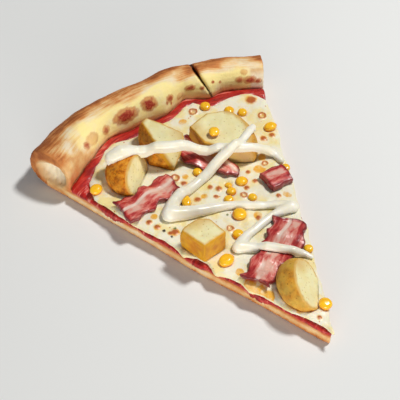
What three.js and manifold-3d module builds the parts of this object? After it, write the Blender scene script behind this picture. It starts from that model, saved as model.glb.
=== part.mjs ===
// A slice of pizza with potato chunks, bacon, sweetcorn and a mayonnaise drizzle.
// Millimetres, +Z up. The slice is laid out from its tip, with the rim towards +Y, and at the end
// it is moved so that the middle of its underside is the origin. Angles round the pizza are in
// degrees from +Y towards +X, so the left cut lies at -HALF_ANGLE and the right one at +HALF_ANGLE.
import * as THREE from "three";
import { mergeVertices } from "three/addons/utils/BufferGeometryUtils.js";
import Module from "manifold-3d";

const wasm = await Module();
wasm.setup();

// ---- Driving dimensions ----
const PIZZA_RADIUS = 180;
const HALF_ANGLE = 23.2;
const DOUGH_THICKNESS = 6;
const SAUCE_THICKNESS = 2.2;
const CHEESE_THICKNESS = 2.4;
const GAP = 0.3;
const TIP_ROUNDING = 2.5;

// The rim is a fat roll: an oval section with its crest over CREST_RADIUS.
const RIM_HEIGHT = 22.5;
const CREST_RADIUS = 170;
const RIM_INNER_HALF_WIDTH = 12.5;
// A slit scored across the rim, from outside it inwards and down; it leans over to the left
const SCORE_START = [31.9, 184];
const SCORE_HEADING = 185.5;
const SCORE_LENGTH = 34;
const SCORE_WIDTH = 1.2;
const SCORE_DEPTH = 7;
const SCORE_SLOPE = 20;
const SCORE_LEAN = 22;
// The hollow crumb in each cut end of the rim: its middle's distance from the tip and height
const CRUMB_DISTANCE = 162;
const CRUMB_HEIGHT = 11.8;
const CRUMB_HALF_SIZE = [9.2, 8];

// Heights of the layers
const SAUCE_BOTTOM = DOUGH_THICKNESS + GAP;
const SAUCE_TOP = SAUCE_BOTTOM + SAUCE_THICKNESS;
const CHEESE_BOTTOM = SAUCE_TOP + GAP;
const CHEESE_TOP = CHEESE_BOTTOM + CHEESE_THICKNESS;
const SINK = 1;

// Where the sauce ends against the rim, and where the cheese ends on the sauce: [angle, radius]
const SAUCE_EDGE = [
  [-24, 150], [-20, 153], [-15.5, 156], [-9.5, 161], [-4, 158.8], [2.5, 157.6],
  [7.5, 164.3], [11.6, 159.6], [15.4, 163], [18.5, 160.9], [24, 160],
];
const CHEESE_EDGE = [
  [-24, 136], [-21, 144], [-16.5, 148.5], [-11, 154.2], [-5.5, 151], [2.5, 151],
  [8, 157.6], [11.4, 150.6], [14.5, 153.3], [20, 155.2], [24, 150],
];
// Lobes of melted cheese that hang over the two cuts: [distance from the tip, reach, half length]
const LEFT_LOBES = [
  [2, 2.8, 2.6], [24, 2.6, 5], [35, 3, 4.4], [45.5, 3.6, 5.4], [62, 4.3, 3.9], [85.5, 4.7, 3.6],
  [99.5, 2.7, 3.2], [107, 2.9, 2.9], [118, 3.6, 4.4], [131, 3.2, 2.6], [139, 2.2, 2],
];
const RIGHT_LOBES = [
  [16, 1.6, 3], [26, 1, 4], [48, 1.1, 6], [61, 1.6, 3], [70, -0.8, 3], [93, 1, 6], [127, 0.7, 5],
];
// Where each hand-made cut bulges or dips: [distance from the tip, reach, half length]
const LEFT_STRAY = [[76, 1.1, 30]];
const RIGHT_STRAY = [[58, 0.5, 12], [115, -1, 7], [146, -1.7, 12], [170, -0.8, 8]];
// Runs of sauce down the left cut: [distance from the tip, half length, lowest height]
const SAUCE_RUNS = [[40, 9, 2.8], [74, 8, 4.4], [101, 7, 4.8], [124, 9, 3]];

// Each potato chunk is an oval tuber with flat cuts. A cut faces a heading (as the angles above),
// tilts up from level and lies offset from the tuber's centre.
const POTATOES = [
  {
    centre: [-8, 133, 17], radii: [12.9, 16.6, 14], turn: 0,
    cuts: [
      { heading: 0, tilt: 88, offset: 7.4 },
      { heading: -83.6, tilt: 15.4, offset: 8.4 },
      { heading: -130, tilt: 0.9, offset: 10.4 },
      { heading: -158, tilt: 16.6, offset: 10.8 },
      { heading: 116, tilt: -22, offset: 6.2 },
      { heading: 62, tilt: 4, offset: 6.1 },
    ],
  },
  {
    centre: [-31.6, 126.6, 14.5], radii: [12, 12.8, 8.6], turn: 10,
    cuts: [{ heading: 140, tilt: 24, offset: 4.1 }],
  },
  {
    centre: [17, 121, 14], radii: [18.5, 22, 13], turn: 0,
    cuts: [
      { heading: 0, tilt: 89, offset: 7.2 },
      { heading: -92, tilt: 3, offset: 9.8 },
      { heading: -123, tilt: 3, offset: 8.8 },
      { heading: -151, tilt: 3, offset: 10.4 },
      { heading: -16, tilt: 4, offset: 15 },
      { heading: 20, tilt: 4, offset: 16 },
    ],
  },
  {
    centre: [-23.4, 70.3, 16], radii: [12, 11.6, 14], turn: 0,
    cuts: [
      { heading: 0, tilt: 90, offset: 6.8 },
      { heading: 78, tilt: 0, offset: 7.6 },
      { heading: -108, tilt: 0, offset: 6.2 },
      { heading: -8, tilt: 0, offset: 8.6 },
      { heading: 171.6, tilt: 0, offset: 6.2 },
      { heading: 36, tilt: 0, offset: 8.4 },
    ],
  },
  {
    centre: [1.6, 26.8, 14.5], radii: [11.2, 13.8, 9.8], turn: 4,
    cuts: [{ heading: 124.6, tilt: 41, offset: 3 }],
  },
];
const POTATO_BOTTOM = CHEESE_TOP - SINK;

// Bacon: a strip's stations, [x, y, width], its thickness, ripples and how far its edges wave
const BACON = [
  { thickness: 2.4, ripple: 1, waves: 2.2, phase: 0.4, edge: 1, steps: 14,
    stations: [[-46.6, 107.3, 16.4], [-36, 108.5, 13.5], [-26, 110.4, 13.4], [-15.5, 111.8, 12.4]] },
  { thickness: 2.4, ripple: 0.9, waves: 2.4, phase: 2.2, edge: 0.9, steps: 14,
    stations: [[3.2, 134.5, 9], [4, 122, 15.5], [9, 111.5, 12.5], [15, 100, 5.5]] },
  { thickness: 4.4, ripple: 0.3, waves: 0.8, phase: 1, edge: 0.3, steps: 5,
    stations: [[22.8, 86.8, 12], [29, 87.2, 11.4], [35.4, 86.8, 11.4]] },
  { thickness: 2.4, ripple: 1.1, waves: 2.6, phase: 3.4, edge: 1.1, steps: 16,
    stations: [[19.6, 62.4, 15], [10, 53, 18], [-3.6, 46.4, 14], [-15, 40.2, 14.4]] },
];

// Sweetcorn kernels: [x, y, length, width, heading of the point]; the fifth lies on the third chunk
const CORN = [
  [-49.5, 128.4, 6.6, 5.6, 70], [26.2, 148.8, 5.8, 5.4, 20], [35.2, 139.8, 5.2, 5, -30],
  [40.4, 135, 5.2, 4.8, 50], [14.3, 121.6, 5.6, 5.4, 15], [46.8, 118.4, 7, 5.2, 95],
  [-1.4, 111.8, 5.2, 4.8, 200], [13.9, 95.2, 6.2, 5.4, 110], [6.2, 92.6, 5, 4.6, 160],
  [2.2, 89, 5, 4.8, 0], [13, 84.2, 4.4, 4.4, 60], [-16.2, 98.6, 7.6, 4.6, 25],
  [1.2, 78, 7, 6.6, 300], [-6, 68.4, 5.8, 5.2, 240], [-18.9, 58, 8, 6.2, 85],
  [37.6, 91.6, 4.6, 4.4, 10], [17.6, 44, 4.8, 4.6, 30], [5.6, 14.2, 6.4, 6, 350],
  [7.2, 97, 3.6, 3.2, 330],
];
const CORN_ON_POTATO = 4;

// The drizzle: beads of mayonnaise along [x, y, width]; the first one crosses the zigzag's legs
const DRIZZLE = [
  [[-36.6, 134.2, 7.6], [-33.4, 133.4, 8.8], [-28, 132.8, 6.6], [-22.6, 131.6, 5], [-13.2, 124.8, 5],
    [-4.5, 121.2, 4.6], [0.2, 120.9, 4.5], [4.2, 119.1, 4.3], [8, 115.8, 4.1], [11.8, 112.6, 4],
    [16.3, 109.8, 4], [20.8, 106.9, 4], [25.6, 104.8, 4], [30.2, 104.8, 4.2], [34.8, 104, 4.4],
    [37.9, 100.2, 4.2], [37.9, 96, 3.6]],
  [[34, 116.5, 4], [26.9, 111.8, 4.4], [20.5, 108.8, 4.5], [14.6, 107.6, 4.6], [8.5, 107.9, 4.8],
    [1.7, 107.1, 5],
    [-7.1, 105, 5.5], [-15.4, 102.7, 5.8], [-22.8, 100.2, 6.8], [-27.2, 95, 9]],
  [[-27.2, 95, 9], [-18.5, 91, 7.2], [-11.6, 88.7, 6.2], [-4.3, 86.7, 5.2], [2.4, 83.7, 4.5],
    [8.4, 79.7, 4.7], [14.7, 76.1, 4.3], [21.6, 72, 4.8], [25, 68.2, 6.8]],
  [[25, 68.2, 6.8], [15.6, 68.8, 4.5], [9.3, 68, 4.5], [2.3, 66.3, 4.5], [-3.6, 65, 5],
    [-10.6, 61.2, 6.4]],
  [[-10.6, 61.2, 6.4], [-5.7, 58.5, 5.5], [-0.4, 53.9, 5], [4.9, 49.3, 4.8], [9.3, 45.2, 4.5],
    [13.7, 42.3, 4], [15.6, 38.8, 2.8]],
];
const BEAD_STEP = 4.4;
const BEAD_SIDES = 8;
const BEAD_HEIGHT_RATIO = 0.66;
const BEAD_SLOPE = 0.75;

const MATERIALS = {
  crust: { color: 0xd9a566, roughness: 0.8 },
  sauce: { color: 0xa3262a, roughness: 0.35 },
  cheese: { color: 0xf0e3b2, roughness: 0.4 },
  mayonnaise: { color: 0xece9dc, roughness: 0.3 },
  potato: { color: 0xe3dba2, roughness: 0.6 },
  bacon: { color: 0x9c3a3f, roughness: 0.4 },
  corn: { color: 0xf5b021, roughness: 0.25 },
};

// ---- Small helpers ----
const { degToRad, radToDeg, smoothstep, clamp, lerp } = THREE.MathUtils;

function polar(radius, angle) {
  const a = degToRad(angle);
  return [radius * Math.sin(a), radius * Math.cos(a)];
}

// Height of a smooth curve through [position, height] knots
function alongKnots(knots, position) {
  const last = knots.length - 2;
  const i = clamp(knots.findIndex((knot) => knot[0] > position) - 1, 0, last);
  const index = position >= knots[last + 1][0] ? last : i;
  const t = smoothstep(position, knots[index][0], knots[index + 1][0]);
  return lerp(knots[index][1], knots[index + 1][1], t);
}

// Slow, gentle unevenness between -1 and 1
function unevenness(x, y, wavelength, seed) {
  const k = (2 * Math.PI) / wavelength;
  const long = Math.sin(k * x + seed) * Math.cos(0.83 * k * y + 1.7 * seed);
  const short = Math.sin(1.9 * k * y - 0.7 * k * x + 2.3 * seed);
  return (long + 0.5 * short) / 1.5;
}

// Sum of rounded lobes, [position, reach, half length], at a position
function lobesAt(lobes, position) {
  return lobes.reduce((sum, [middle, reach, half]) => {
    return sum + reach * Math.exp(-(((position - middle) / half) ** 2));
  }, 0);
}

// How far a hand-made cut strays outwards from its straight line, along its distance from the tip
function strayOfCut(side, distance) {
  return lobesAt(side < 0 ? LEFT_STRAY : RIGHT_STRAY, distance) + 0.2 * Math.sin(distance / 9);
}

// A point beside one of the cuts, a given way out from its straight line
function besideCut(side, distance, out) {
  const [alongX, alongY] = polar(distance, side * HALF_ANGLE);
  const [outX, outY] = polar(out, side * (HALF_ANGLE + 90));
  return [alongX + outX, alongY + outY];
}

function warp(geometry, move) {
  const position = geometry.attributes.position;
  for (let i = 0; i < position.count; i++) {
    position.setXYZ(i, ...move(position.getX(i), position.getY(i), position.getZ(i)));
  }
  return geometry;
}

// A closed geometry as a solid: seams merged and the flat triangles at its poles dropped
function solidOf(geometry) {
  const bare = geometry.clone();
  bare.deleteAttribute("normal");
  bare.deleteAttribute("uv");
  const merged = mergeVertices(bare, 1e-3);
  const corners = [];
  for (let i = 0; i < merged.index.count; i += 3) {
    const [a, b, c] = [0, 1, 2].map((k) => merged.index.getX(i + k));
    if (a !== b && b !== c && c !== a) corners.push(a, b, c);
  }
  return new wasm.Manifold(
    new wasm.Mesh({
      numProp: 3,
      vertProperties: merged.attributes.position.array,
      triVerts: new Uint32Array(corners),
    }),
  );
}

function geometryOf(solid) {
  const { vertProperties, triVerts } = solid.getMesh();
  const geometry = new THREE.BufferGeometry();
  geometry.setAttribute("position", new THREE.BufferAttribute(vertProperties, 3));
  geometry.setIndex(new THREE.BufferAttribute(triVerts, 1));
  return geometry;
}

// Closed skin over rings of equal size, with a point at each end
function loft(firstPoint, rings, lastPoint) {
  const size = rings[0].length;
  const points = [firstPoint, ...rings.flat(), lastPoint];
  const triangles = [];
  for (let k = 0; k < size; k++) {
    const next = (k + 1) % size;
    triangles.push(0, 1 + next, 1 + k);
    for (let i = 0; i + 1 < rings.length; i++) {
      const here = 1 + i * size;
      const there = here + size;
      triangles.push(here + k, here + next, there + next, here + k, there + next, there + k);
    }
    const end = 1 + (rings.length - 1) * size;
    triangles.push(end + k, end + next, points.length - 1);
  }
  const geometry = new THREE.BufferGeometry();
  geometry.setAttribute("position", new THREE.Float32BufferAttribute(points.flat(), 3));
  geometry.setIndex(triangles);
  return geometry;
}

// ---- The cut wedge that the dough is trimmed to ----
const CUT_STEP = 6;

function wedgeOutline() {
  const points = [];
  const farthest = PIZZA_RADIUS + 12;
  for (let s = farthest; s > TIP_ROUNDING; s -= CUT_STEP) {
    points.push(besideCut(-1, s, strayOfCut(-1, s)));
  }
  points.push([0, TIP_ROUNDING * 0.4]);
  for (let s = CUT_STEP; s < farthest + CUT_STEP; s += CUT_STEP) {
    points.push(besideCut(1, s, strayOfCut(1, s)));
  }
  return new THREE.Shape(points.map(([x, y]) => new THREE.Vector2(x, y)));
}

// ---- Crust: a flat base and a risen rim, revolved, then trimmed to the wedge ----
const RIM_SEGMENTS = 150;
const RIM_SECTION_POINTS = 22;

// How far the rim's outline falls short of the full circle, where its two ends are rounded off
function endTaper(angle) {
  return 4.2 * smoothstep(-angle, 14.5, 23.5) + 4.2 * smoothstep(angle, 8, 24);
}

// Distance from the tip at which the rim's oval section meets the top of the base
const RIM_FOOT_ARC = Math.PI + Math.asin((RIM_HEIGHT / 2 - DOUGH_THICKNESS) / (RIM_HEIGHT / 2));
const RIM_FOOT_RADIUS = CREST_RADIUS + RIM_INNER_HALF_WIDTH * Math.cos(RIM_FOOT_ARC);

function crustSection() {
  const points = [new THREE.Vector2(0, 0)];
  for (let i = 0; i <= RIM_SECTION_POINTS; i++) {
    const arc = lerp(-Math.PI / 2, RIM_FOOT_ARC, i / RIM_SECTION_POINTS);
    const halfWidth = Math.cos(arc) > 0 ? PIZZA_RADIUS - CREST_RADIUS : RIM_INNER_HALF_WIDTH;
    points.push(
      new THREE.Vector2(
        CREST_RADIUS + halfWidth * Math.cos(arc),
        (RIM_HEIGHT / 2) * (1 + Math.sin(arc)),
      ),
    );
  }
  points.push(new THREE.Vector2(0, DOUGH_THICKNESS));
  return points;
}

function makeDough() {
  const disc = new THREE.LatheGeometry(crustSection(), RIM_SEGMENTS);
  disc.rotateX(Math.PI / 2);
  warp(disc, (x, y, z) => {
    const radius = Math.hypot(x, y);
    const angle = radToDeg(Math.atan2(x, y));
    if (Math.abs(angle) > HALF_ANGLE + 10) return [x, y, z];
    const slope = clamp((PIZZA_RADIUS - radius) / (PIZZA_RADIUS - RIM_FOOT_RADIUS), 0, 1);
    const foot = z < 0.01 ? 0 : slope * Math.min(1, radius / RIM_FOOT_RADIUS);
    const rim = smoothstep(radius, RIM_FOOT_RADIUS + 1, CREST_RADIUS);
    const high = smoothstep(z, DOUGH_THICKNESS, RIM_HEIGHT);
    const toSauce = alongKnots(SAUCE_EDGE, angle) + GAP - RIM_FOOT_RADIUS;
    const swell = 0.7 * unevenness(angle * 3, z, 34, 1.3) - endTaper(angle);
    const moved = radius + foot * toSauce + rim * swell;
    const leftEnd = 3 * smoothstep(-angle, 14, 23);
    const lift = high * (0.8 * unevenness(angle * 3, radius, 30, 4.1) + leftEnd);
    return [...polar(moved, angle), z + lift];
  });
  return solidOf(disc);
}

// A narrow V scored across the rim, down to the sauce
function makeScore() {
  const section = new THREE.Shape();
  section.moveTo(0, -SCORE_DEPTH);
  section.lineTo(SCORE_WIDTH, SCORE_DEPTH);
  section.lineTo(-SCORE_WIDTH, SCORE_DEPTH);
  section.closePath();
  const groove = new THREE.ExtrudeGeometry(section, {
    depth: SCORE_LENGTH,
    steps: 1,
    bevelEnabled: false,
  });
  groove.rotateX(Math.PI / 2 + degToRad(SCORE_SLOPE));
  groove.rotateY(degToRad(-SCORE_LEAN));
  groove.rotateZ(degToRad(180 - SCORE_HEADING));
  groove.translate(...SCORE_START, RIM_HEIGHT);
  return solidOf(groove);
}

// The hollow crumb that shows in a cut end of the rim: an egg-shaped dent, shallow at its edge
function makeCrumbDent(side, depth) {
  const dent = new THREE.SphereGeometry(1, 18, 10);
  const [x, y] = besideCut(side, CRUMB_DISTANCE, 0.4);
  dent.scale(depth, ...CRUMB_HALF_SIZE);
  warp(dent, (u, v, w) => [u, v - 0.18 * w, w * (1 - 0.025 * v)]);
  dent.rotateZ(degToRad(-side * HALF_ANGLE));
  dent.translate(x, y, CRUMB_HEIGHT);
  return solidOf(dent);
}

function trimToWedge(dough) {
  const wedge = new THREE.ExtrudeGeometry(wedgeOutline(), {
    depth: RIM_HEIGHT + 20,
    steps: 1,
    bevelEnabled: false,
  });
  wedge.translate(0, 0, -5);
  return dough.intersect(solidOf(wedge));
}

function makeCrust(trimmed) {
  return trimmed
    .subtract(makeScore())
    .subtract(makeCrumbDent(-1, 6))
    .subtract(makeCrumbDent(1, 1.4));
}

// ---- Sauce: a thin layer, a thicker wavy band in front of the rim, and runs down the left cut ----
const SAUCE_PROUD = 0.4;

function sauceOutline() {
  const points = [];
  const leftEnd = alongKnots(SAUCE_EDGE, -HALF_ANGLE) - 1;
  const rightEnd = alongKnots(SAUCE_EDGE, HALF_ANGLE) - 1;
  for (let s = leftEnd; s > TIP_ROUNDING; s -= CUT_STEP) {
    points.push(besideCut(-1, s, strayOfCut(-1, s) + SAUCE_PROUD));
  }
  points.push([0, TIP_ROUNDING * 0.4 - SAUCE_PROUD]);
  for (let s = CUT_STEP; s < rightEnd; s += CUT_STEP) {
    points.push(besideCut(1, s, strayOfCut(1, s) + SAUCE_PROUD / 2));
  }
  for (let angle = HALF_ANGLE - 0.3; angle > -HALF_ANGLE; angle -= 1.8) {
    points.push(polar(alongKnots(SAUCE_EDGE, angle) - 0.2, angle));
  }
  return new THREE.Shape(points.map(([x, y]) => new THREE.Vector2(x, y)));
}

// The band's low rounded section, swept round the pizza between the cheese and the rim
function makeSauceBand() {
  const rings = [];
  const sides = 6;
  const reach = HALF_ANGLE - 0.6;
  for (let angle = -reach; angle <= reach + 0.01; angle += reach / 12) {
    const inner = alongKnots(CHEESE_EDGE, angle) - 1;
    const outer = alongKnots(SAUCE_EDGE, angle) - 0.2;
    const height = 1.1 + 0.35 * unevenness(angle * 3, 0, 17, 2.2);
    rings.push(
      Array.from({ length: sides }, (unused, k) => {
        const arc = (2 * Math.PI * k) / sides;
        const radius = lerp(inner, outer, 0.5 + 0.5 * Math.cos(arc));
        const z = Math.sin(arc) > 0 ? SAUCE_TOP + height * Math.sin(arc) : SAUCE_BOTTOM + 0.2;
        return [...polar(radius, angle), z];
      }),
    );
  }
  const middle = (ring) => [
    ...[0, 1].map((axis) => ring.reduce((sum, point) => sum + point[axis], 0) / sides),
    SAUCE_TOP,
  ];
  return solidOf(loft(middle(rings[0]), rings, middle(rings[rings.length - 1])));
}

function makeSauceRun([distance, half, lowest]) {
  const run = new THREE.SphereGeometry(1, 12, 8);
  const height = SAUCE_TOP - 0.3 - lowest;
  run.scale(1.2, half, height);
  warp(run, (u, v, w) => [Math.max(u, -0.9), v, w]);
  run.translate(0, 0, SAUCE_TOP - 0.3);
  // Only its lower outer part is kept: above the sauce's top and inside the dough it is cut away
  const keep = new THREE.BoxGeometry(4, 3 * half, height + SAUCE_THICKNESS);
  const out = GAP + strayOfCut(-1, distance);
  keep.translate(-2 - GAP, 0, SAUCE_TOP - 0.3 - (height + SAUCE_THICKNESS) / 2);
  const [x, y] = besideCut(-1, distance, out - GAP);
  const place = (geometry) => geometry.rotateZ(degToRad(HALF_ANGLE)).translate(x, y, 0);
  return solidOf(place(run)).intersect(solidOf(place(keep)));
}

function makeSauce() {
  const layer = new THREE.ExtrudeGeometry(sauceOutline(), {
    depth: SAUCE_THICKNESS,
    steps: 1,
    bevelEnabled: false,
  });
  layer.translate(0, 0, SAUCE_BOTTOM);
  return SAUCE_RUNS.map(makeSauceRun).reduce(
    (solid, run) => solid.add(run),
    solidOf(layer).add(makeSauceBand()),
  );
}

// ---- Cheese: an uneven melted layer whose lobes hang over the cuts ----
const CHEESE_ROWS = 22;
const CHEESE_INSET = 2;
// Where the cheese's edge on the left and on the right cut meets its rim side
const LEFT_CORNER = 141;
const RIGHT_CORNER = 153;

function cheeseTopAt(x, y) {
  return CHEESE_TOP + 0.28 * unevenness(x, y, 23, 0.7) + 0.16 * unevenness(x, y, 11, 3.9);
}

// A point of the cheese's top: row 0 is the tip, and each row has one point more than the last
function cheeseTopPoint(row, column) {
  const across = row === 0 ? 0 : (2 * column) / row - 1;
  const angle = across * HALF_ANGLE;
  const radius = ((alongKnots(CHEESE_EDGE, angle) - CHEESE_INSET) * row) / CHEESE_ROWS;
  const [x, y] = polar(radius, angle);
  const side = Math.sign(across);
  const out = (strayOfCut(side, radius) - CHEESE_INSET) * smoothstep(Math.abs(across), 0.5, 1);
  const [outX, outY] = polar(row === 0 ? 0 : out, side * (HALF_ANGLE + 90));
  return [x + outX, y + outY];
}

function makeCheese(grow) {
  const points = [];
  const triangles = [];
  const indexOf = (row, column) => (row * (row + 1)) / 2 + column;
  for (let row = 0; row <= CHEESE_ROWS; row++) {
    for (let column = 0; column <= row; column++) {
      const [x, y] = cheeseTopPoint(row, column);
      points.push([x, y, cheeseTopAt(x, y) + grow]);
      if (row === CHEESE_ROWS) continue;
      triangles.push(indexOf(row, column), indexOf(row + 1, column + 1), indexOf(row + 1, column));
      if (column === row) continue;
      triangles.push(indexOf(row, column), indexOf(row, column + 1), indexOf(row + 1, column + 1));
    }
  }
  // Its edge, counter-clockwise from the tip: the right cut, the rim side, then the left cut
  const edge = [{ index: 0, heading: 180, reach: -2 }];
  for (let row = 1; row <= CHEESE_ROWS; row++) {
    const distance = (row / CHEESE_ROWS) * RIGHT_CORNER;
    const reach = lobesAt(RIGHT_LOBES, distance) - 0.5;
    edge.push({ index: indexOf(row, row), heading: HALF_ANGLE + 90, reach });
  }
  for (let column = CHEESE_ROWS - 1; column > 0; column--) {
    const heading = ((2 * column) / CHEESE_ROWS - 1) * HALF_ANGLE;
    edge.push({ index: indexOf(CHEESE_ROWS, column), heading, reach: 0, onSauce: true });
  }
  for (let row = CHEESE_ROWS; row > 0; row--) {
    const distance = (row / CHEESE_ROWS) * LEFT_CORNER;
    const reach = lobesAt(LEFT_LOBES, distance) - 2;
    edge.push({ index: indexOf(row, 0), heading: -HALF_ANGLE - 90, reach });
  }
  const rings = [edge.map(({ index }) => index)];
  const addRing = (pointOf) => {
    rings.push(edge.map((spot) => points.push(pointOf(spot, ...points[spot.index])) - 1));
  };
  const shifted = (x, y, heading, out) => {
    const [outX, outY] = polar(out, heading);
    return [x + outX, y + outY];
  };
  addRing(({ heading, reach }, x, y, z) => [
    ...shifted(x, y, heading, Math.max(CHEESE_INSET + 0.6 + reach, 0.8) + grow),
    z - 1,
  ]);
  addRing(({ heading, reach, onSauce }, x, y) => {
    const hang = onSauce ? -0.4 : Math.max(reach, -0.3) * 0.6;
    const out = CHEESE_INSET + (onSauce ? -0.2 : 0.8) + reach * 0.9 + grow;
    return [...shifted(x, y, heading, out), CHEESE_BOTTOM - hang - grow];
  });
  addRing(({ heading, reach, onSauce }, x, y) => {
    const out = CHEESE_INSET + (onSauce ? -0.8 : Math.min(0.75, reach + 0.6)) - grow * 0.2;
    return [...shifted(x, y, heading, out), CHEESE_BOTTOM - grow];
  });
  for (let i = 0; i + 1 < rings.length; i++) {
    for (let k = 0; k < edge.length; k++) {
      const next = (k + 1) % edge.length;
      const [a, b, c, d] = [rings[i][k], rings[i][next], rings[i + 1][next], rings[i + 1][k]];
      triangles.push(a, c, b, a, d, c);
    }
  }
  const under = rings[rings.length - 1];
  const flat = under.map((index) => new THREE.Vector2(points[index][0], points[index][1]));
  THREE.ShapeUtils.triangulateShape(flat, []).forEach(([a, b, c]) => {
    triangles.push(under[a], under[c], under[b]);
  });
  const geometry = new THREE.BufferGeometry();
  geometry.setAttribute("position", new THREE.Float32BufferAttribute(points.flat(), 3));
  geometry.setIndex(triangles);
  return solidOf(geometry);
}

// ---- Potato chunks ----
function makePotato({ centre, radii, turn, cuts }, grow) {
  const tuber = new THREE.SphereGeometry(1, 16, 10);
  tuber.scale(...radii.map((radius) => radius + grow));
  tuber.rotateZ(degToRad(-turn));
  let chunk = solidOf(tuber);
  const size = 60;
  const bottom = { heading: 0, tilt: -90, offset: centre[2] - POTATO_BOTTOM };
  [...cuts, bottom].forEach(({ heading, tilt, offset }) => {
    const waste = new THREE.BoxGeometry(size, size, size);
    waste.translate(0, offset + grow + size / 2, 0);
    waste.rotateX(degToRad(tilt));
    waste.rotateZ(degToRad(-heading));
    chunk = chunk.subtract(solidOf(waste));
  });
  return chunk.translate(centre);
}

// ---- Bacon: rippled strips with wavy edges ----
function alongStations(stations, t) {
  const curve = (axis) => {
    const points = stations.map((station) => new THREE.Vector2(station[axis], 0));
    return new THREE.SplineCurve(points).getPoint(clamp(t, 0, 1)).x;
  };
  return [curve(0), curve(1), curve(2)];
}

function makeBacon({ thickness, ripple, waves, phase, edge, steps, stations }, grow) {
  const strip = new THREE.BoxGeometry(1, 1, 1, steps, 4, 1);
  warp(strip, (u, v, w) => {
    const t = u + 0.5;
    const [x, y, width] = alongStations(stations, t);
    const [beforeX, beforeY] = alongStations(stations, t - 0.02);
    const [afterX, afterY] = alongStations(stations, t + 0.02);
    const along = new THREE.Vector2(afterX - beforeX, afterY - beforeY).normalize();
    const edgeWave = edge * Math.sin(2 * Math.PI * (waves * 1.6 * t + v * 0.7) + phase) * Math.abs(2 * v);
    const across = v * (width + 2 * grow) + edgeWave * Math.sign(v);
    const past = 2 * grow * u + 0.7 * edge * Math.sin(6 * v + phase) * Math.abs(2 * u) ** 4;
    const roll = ripple * (1 + Math.sin(2 * Math.PI * waves * t + phase + 1.2 * v));
    const middle = CHEESE_TOP - 0.5 + thickness / 2 + roll;
    return [
      x + along.x * past - along.y * across,
      y + along.y * past + along.x * across,
      middle + w * (thickness * (1 - 0.25 * (2 * v) ** 4) + 2 * grow),
    ];
  });
  return solidOf(strip);
}

// ---- Sweetcorn: plump kernels with one end drawn to a point ----
function makeKernel([x, y, length, width, heading], bottom, grow) {
  const kernel = new THREE.SphereGeometry(1, 8, 6);
  const height = 0.5 * (length + width) * 0.7;
  kernel.rotateX(Math.PI / 2);
  warp(kernel, (u, v, w) => {
    const narrowing = 1 - 0.3 * Math.max(v, 0) ** 2;
    return [
      u * (width / 2 + grow) * narrowing,
      v * (length / 2 + grow),
      w * (height / 2 + grow) * narrowing + height / 2 + bottom,
    ];
  });
  kernel.rotateZ(degToRad(-heading));
  kernel.translate(x, y, 0);
  return solidOf(kernel);
}

// ---- Mayonnaise: beads that lie over whatever is under them ----
const CORN_BOTTOM = CHEESE_TOP - 1.5;
const POTATO_3_TOP = POTATOES[2].centre[2] + POTATOES[2].cuts[0].offset;

function makeToppings(grow) {
  const kernels = CORN.map((kernel, i) => {
    return makeKernel(kernel, i === CORN_ON_POTATO ? POTATO_3_TOP + GAP : CORN_BOTTOM, grow);
  });
  return {
    potatoes: POTATOES.map((potato) => makePotato(potato, grow)),
    bacon: BACON.map((strip) => makeBacon(strip, grow)),
    kernels,
  };
}

// Height of the top of what lies at a place, without the drizzle
function makeSupport(solids) {
  const meshes = solids.map((solid) => {
    return new THREE.Mesh(geometryOf(solid), new THREE.MeshBasicMaterial());
  });
  const down = new THREE.Vector3(0, 0, -1);
  return (x, y) => {
    const ray = new THREE.Raycaster(new THREE.Vector3(x, y, 60), down);
    const hits = ray.intersectObjects(meshes, false);
    return Math.max(cheeseTopAt(x, y), ...hits.map((hit) => hit.point.z));
  };
}

// Evenly spaced points along a bead, each with its heading, width and the height it lies at
function beadStations(stations, supportAt) {
  const curve = new THREE.SplineCurve(stations.map(([x, y]) => new THREE.Vector2(x, y)));
  const count = Math.max(3, Math.round(curve.getLength() / BEAD_STEP));
  const spots = Array.from({ length: count + 1 }, (unused, i) => {
    const t = curve.getUtoTmapping(i / count);
    const { x, y } = curve.getPoint(t);
    const along = curve.getTangent(t);
    const at = t * (stations.length - 1);
    const before = Math.min(Math.floor(at), stations.length - 2);
    const width = lerp(stations[before][2], stations[before + 1][2], at - before);
    const under = [-0.35, 0, 0.35].map((side) => {
      return supportAt(x - along.y * side * width, y + along.x * side * width);
    });
    return { x, y, along, width, low: Math.max(...under), rest: Math.min(...under) };
  });
  // Between two high spots the bead hangs across with no more than a gentle slope
  for (let pass = 0; pass < spots.length; pass++) {
    for (let i = 0; i < spots.length; i++) {
      [spots[i - 1], spots[i + 1]].forEach((near) => {
        if (near) spots[i].low = Math.max(spots[i].low, near.low - BEAD_SLOPE * BEAD_STEP);
      });
    }
  }
  return spots;
}

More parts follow.
